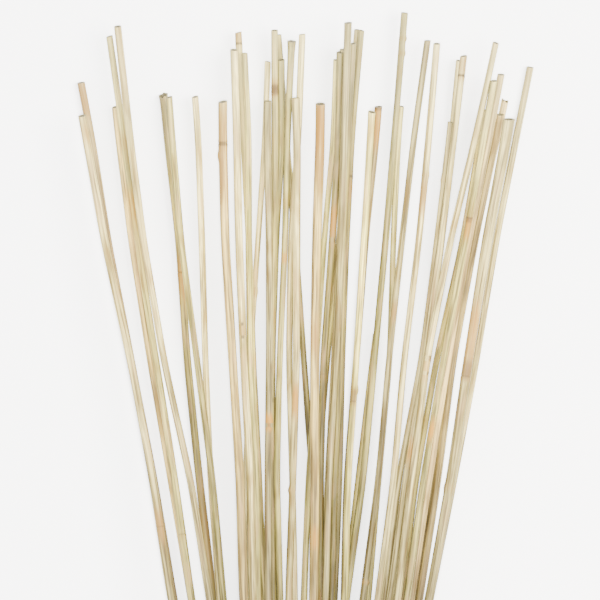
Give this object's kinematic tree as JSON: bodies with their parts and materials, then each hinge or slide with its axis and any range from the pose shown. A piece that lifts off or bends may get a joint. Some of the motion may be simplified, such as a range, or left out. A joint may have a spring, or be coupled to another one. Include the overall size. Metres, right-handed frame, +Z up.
{
  "type": "reed bunch",
  "caption": "Tied bunch of thin dried reeds lying flat, fanning out from a wound twine tie near the cut ends to uneven cut tips",
  "frame": {"origin": "on the plane the reeds rest on, below the middle of the bunch's bounding box", "axes": "+Y runs along the reeds from the cut ends towards the tips, +X across the fan to the right, +Z up"},
  "size_m": [0.365, 1.0352, 0.0565],
  "materials": {
    "reed_cream": "dry, peeled and barked cane, satin, creamy straw",
    "reed_green": "dry, peeled cane, satin, pale green-yellow",
    "reed_tan": "dry cane, satin, orange-tan",
    "reed_pinkish": "dry cane, satin, pinkish beige",
    "reed_olive": "dry cane, satin, dull olive straw",
    "twine": "twisted natural fibre twine, dull"
  },
  "bodies": {
    "root": {"reed_01": "reed_pinkish", "reed_02": "reed_olive", "reed_03": "reed_olive", "reed_04": "reed_tan", "reed_05": "reed_cream", "reed_06": "reed_tan", "reed_07": "reed_cream", "reed_08": "reed_green", "reed_09": "reed_olive", "reed_10": "reed_olive", "reed_11": "reed_cream", "reed_12": "reed_cream", "reed_13": "reed_olive", "reed_14": "reed_green", "reed_15": "reed_olive", "reed_16": "reed_green", "reed_17": "reed_olive", "reed_18": "reed_pinkish", "reed_19": "reed_green", "reed_20": "reed_green", "reed_21": "reed_olive", "reed_22": "reed_cream", "reed_23": "reed_cream", "reed_24": "reed_green", "reed_25": "reed_cream", "reed_26": "reed_tan", "reed_27": "reed_green", "reed_28": "reed_green", "reed_29": "reed_cream", "reed_30": "reed_olive", "reed_31": "reed_olive", "reed_32": "reed_cream", "reed_33": "reed_cream", "reed_34": "reed_pinkish", "reed_35": "reed_cream", "reed_36": "reed_cream", "reed_37": "reed_cream", "reed_38": "reed_cream", "reed_39": "reed_green", "reed_40": "reed_cream", "reed_41": "reed_green", "reed_42": "reed_cream", "reed_43": "reed_tan", "reed_44": "reed_tan", "reed_45": "reed_cream", "reed_46": "reed_cream", "tie": "twine"}
  },
  "joints": []
}
